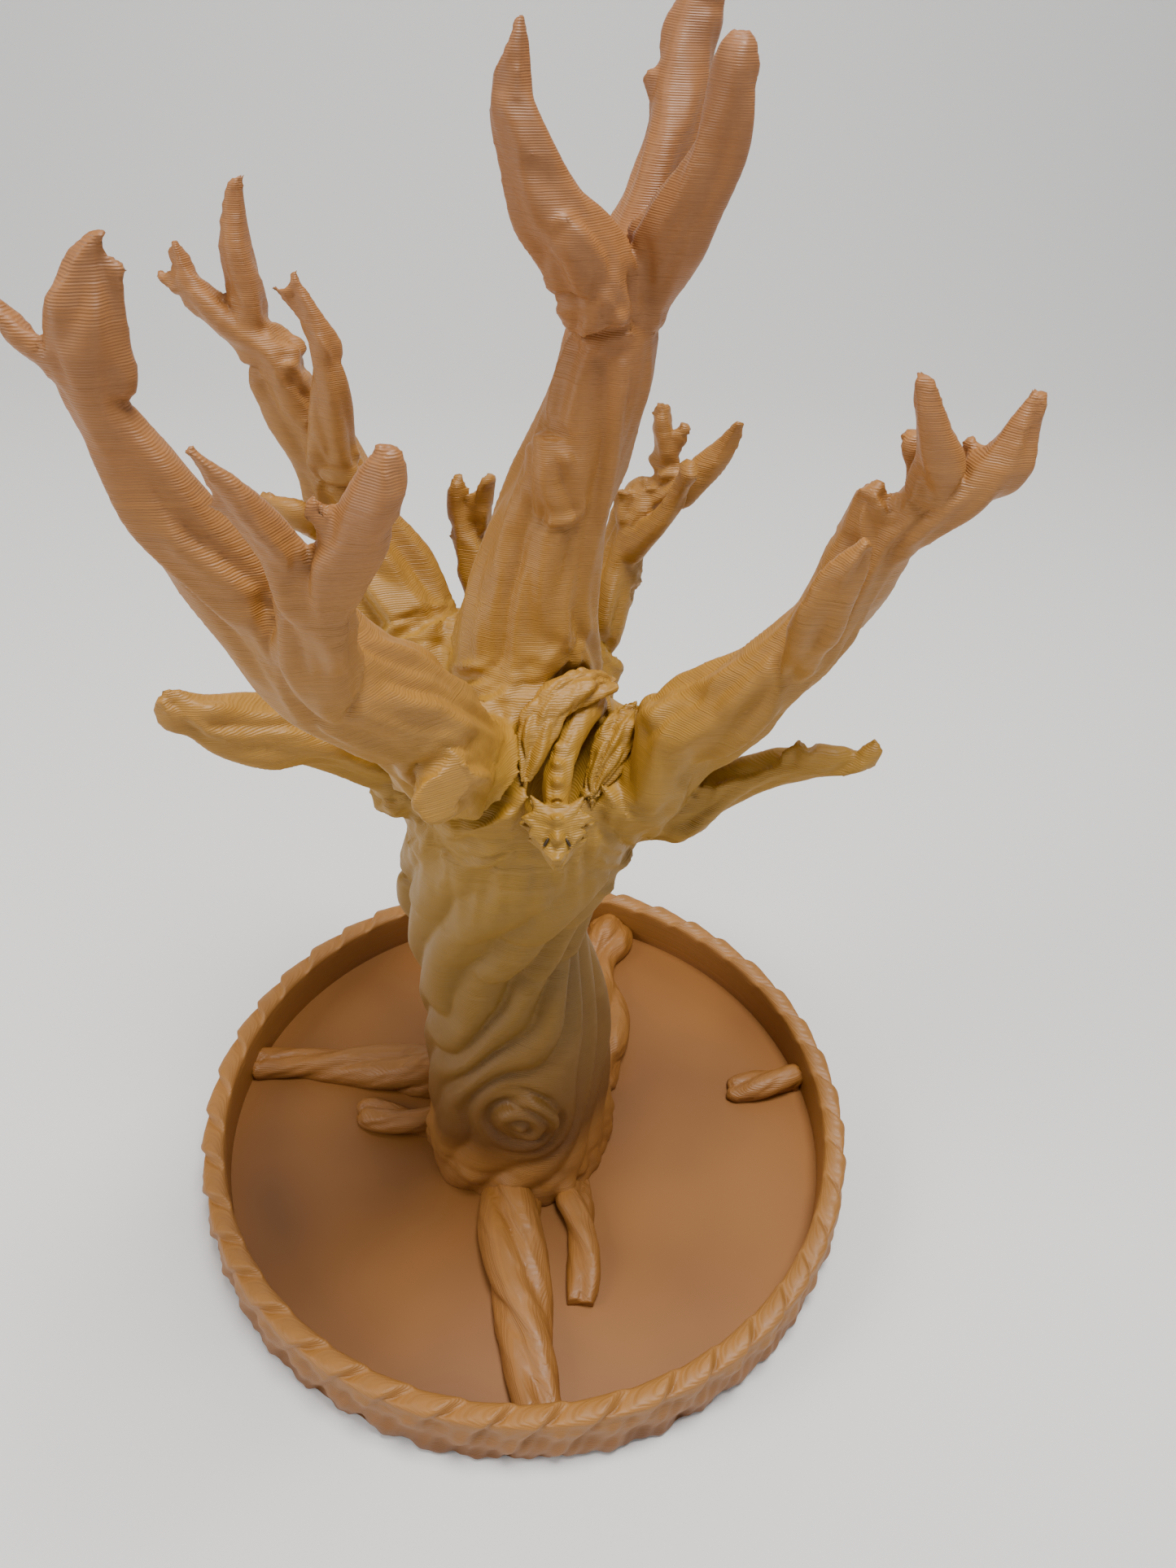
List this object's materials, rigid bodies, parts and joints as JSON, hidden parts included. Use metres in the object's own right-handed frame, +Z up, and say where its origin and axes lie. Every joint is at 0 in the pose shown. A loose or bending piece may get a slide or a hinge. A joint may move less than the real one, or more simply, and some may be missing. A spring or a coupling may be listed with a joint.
{
  "type": "tree ornament with tray",
  "caption": "Bare, twisted tree with a small dragon in its crotch, standing in a round tray with a rope-edged rim; a trinket and ring holder.",
  "frame": {"origin": "centre of the tray's underside", "axes": "+Z up along the trunk; the front of the tree and the open, root-free side of the trunk face -Y; +X to the viewer's right"},
  "size_m": [0.1996, 0.1996, 0.3076],
  "materials": {
    "tray_pla": "satin, layered",
    "trunk_pla": "satin, layered",
    "limb_pla": "satin, layered",
    "dragon_pla": "satin, layered"
  },
  "bodies": {
    "tray_base": {"tray": "tray_pla", "rim_wreath": "tray_pla", "root_front": "tray_pla", "root_front_stub": "tray_pla", "root_left": "tray_pla", "root_left_curl": "tray_pla", "root_rear": "tray_pla", "root_right_stub": "tray_pla"},
    "tree": {"trunk": "trunk_pla", "crown": "limb_pla", "central_limb": "limb_pla", "central_left_finger": "limb_pla", "central_right_finger": "limb_pla", "left_limb": "limb_pla", "left_fork": "limb_pla", "left_twig": "limb_pla", "front_stub": "limb_pla", "low_left_limb": "limb_pla", "rear_left_limb": "limb_pla", "rear_left_finger": "limb_pla", "rear_left_twig": "limb_pla", "rear_twig": "limb_pla", "rear_right_limb": "limb_pla", "rear_right_finger": "limb_pla", "right_limb": "limb_pla", "right_twig": "limb_pla", "low_right_limb": "limb_pla", "dragon_neck": "dragon_pla", "dragon_head": "dragon_pla", "dragon_left_wing": "dragon_pla", "dragon_right_wing": "dragon_pla"}
  },
  "joints": [
    {"name": "tree_lift", "type": "slide", "parent": "tray_base", "child": "tree", "axis": [0, 0, 1], "range_m": [0, 0.03]}
  ]
}
